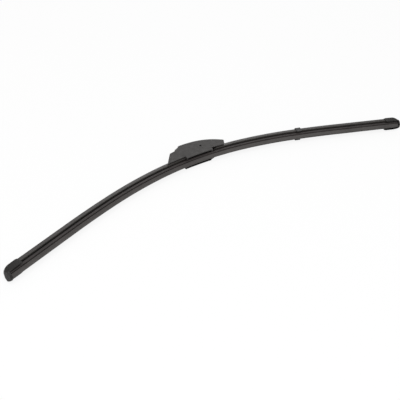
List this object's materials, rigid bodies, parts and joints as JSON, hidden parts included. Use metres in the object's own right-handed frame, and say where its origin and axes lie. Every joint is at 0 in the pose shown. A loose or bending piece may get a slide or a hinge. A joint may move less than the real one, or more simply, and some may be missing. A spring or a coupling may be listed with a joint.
{
  "type": "wiper blade",
  "caption": "Flat black car wiper blade: curved rubber held by two steel rails in covers, end caps, a clip and a connector with a pivoting hook adapter.",
  "frame": {"origin": "middle of the connector's pivot axis, which is the middle of the hook seat", "axes": "+X along the blade towards the end with the clip, +Y away from the glass, +Z across the blade's width; the blade lies on its side on its -Z face"},
  "size_m": [0.5428, 0.0913, 0.016],
  "materials": {
    "rubber": "satin moulded rubber with cut wiping edge",
    "spring_steel": "black coated spring steel",
    "cover_plastic": "extruded soft plastic, satin",
    "cap_plastic": "moulded plastic, fine grain",
    "coated_steel": "black coated pressed steel",
    "housing_plastic": "moulded plastic, fine grain",
    "rivet_steel": "plain steel",
    "adapter_plastic": "moulded plastic"
  },
  "bodies": {
    "blade": {"wiping_rubber": "rubber", "upper_rail": "spring_steel", "lower_rail": "spring_steel", "left_cover": "cover_plastic", "right_cover": "cover_plastic", "left_end_cap": "cap_plastic", "right_end_cap": "cap_plastic", "rail_clip": "cap_plastic", "steel_bracket": "coated_steel", "connector_housing": "housing_plastic", "pivot_rivet": "rivet_steel"},
    "adapter": {"hook_adapter": "adapter_plastic"}
  },
  "joints": [
    {"name": "adapter_pivot", "type": "hinge", "parent": "blade", "child": "adapter", "pos_m": [0, 0, 0], "axis": [0, 0, 1], "range_deg": [-6, 18]}
  ]
}
